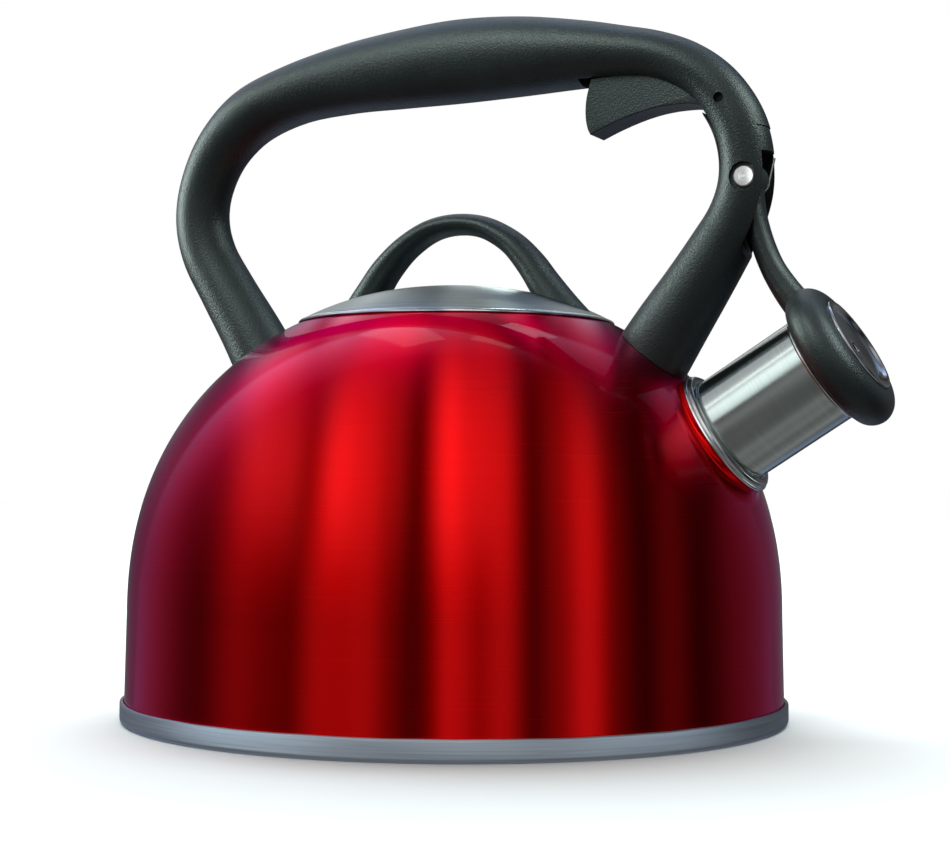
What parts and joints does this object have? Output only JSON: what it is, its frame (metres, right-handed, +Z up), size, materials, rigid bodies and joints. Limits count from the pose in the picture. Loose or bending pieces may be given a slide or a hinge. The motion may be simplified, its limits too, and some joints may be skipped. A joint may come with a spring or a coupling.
{
  "type": "stovetop whistling kettle",
  "caption": "Domed stovetop kettle with a fixed loop handle, lift-off lid and a sprung whistle cap on the spout, opened by a trigger under the grip.",
  "frame": {"origin": "centre of the base's underside, on the surface the kettle stands on", "axes": "+X towards the spout, +Y across the mirror plane, +Z up"},
  "size_m": [0.2447, 0.208, 0.221],
  "materials": {
    "red_lacquered_steel": "clear red lacquer over brushed steel, glossy",
    "base_steel": "satin brushed, bright rolled edge",
    "heat_disc_aluminium": "plain rolled",
    "inside_steel": "plain drawn",
    "spout_steel": "lightly brushed, bright",
    "bead_steel": "polished rolled bead",
    "lid_steel": "spun, brushed in circles",
    "handle_nylon": "fine moulded grain, matt black",
    "cap_nylon": "fine moulded grain, matt black",
    "dish_chrome": "polished",
    "rivet_steel": "satin, turned face",
    "plain_steel": "plain zinc-plated steel",
    "spring_steel": "drawn wire"
  },
  "bodies": {
    "kettle": {"body_shell": "red_lacquered_steel", "kettle_floor": "inside_steel", "heat_disc": "heat_disc_aluminium", "base_cap": "base_steel", "spout_tube": "spout_steel", "spout_bead": "bead_steel", "rear_handle_bracket": "plain_steel", "front_handle_bracket": "plain_steel", "handle_screws": "plain_steel", "handle": "handle_nylon", "slot_cover": "handle_nylon", "trigger_pin": "plain_steel", "arm_rivet": "rivet_steel", "rivet_washer": "plain_steel", "arm_spring": "spring_steel"},
    "trigger": {"trigger": "handle_nylon"},
    "whistle": {"whistle_arm": "cap_nylon", "cap_shell": "cap_nylon", "whistle_barrel": "spout_steel", "whistle_back_plate": "spout_steel", "whistle_dish": "dish_chrome"},
    "lid": {"lid_cover": "lid_steel", "lid_skirt": "lid_steel", "lid_handle": "handle_nylon", "lid_screws": "plain_steel", "lid_washers": "plain_steel"}
  },
  "joints": [
    {"name": "whistle_hinge", "type": "hinge", "parent": "kettle", "child": "whistle", "pos_m": [0.0975, 0, 0.1634], "axis": [0, -1, 0], "range_deg": [0, 35], "stiffness_Nm_per_rad": 0.08, "springref_deg": -28.65, "deforming": ["arm_spring"]},
    {"name": "trigger_hinge", "type": "hinge", "parent": "kettle", "child": "trigger", "pos_m": [0.0901, 0, 0.187], "axis": [0, 1, 0], "range_deg": [0, 14.1]},
    {"name": "lid_lift", "type": "slide", "parent": "kettle", "child": "lid", "axis": [0, 0, 1], "range_m": [0, 0.028]}
  ],
  "couplings": [
    {"joint": "trigger_hinge", "follows": "whistle_hinge", "ratio": 0.4}
  ]
}
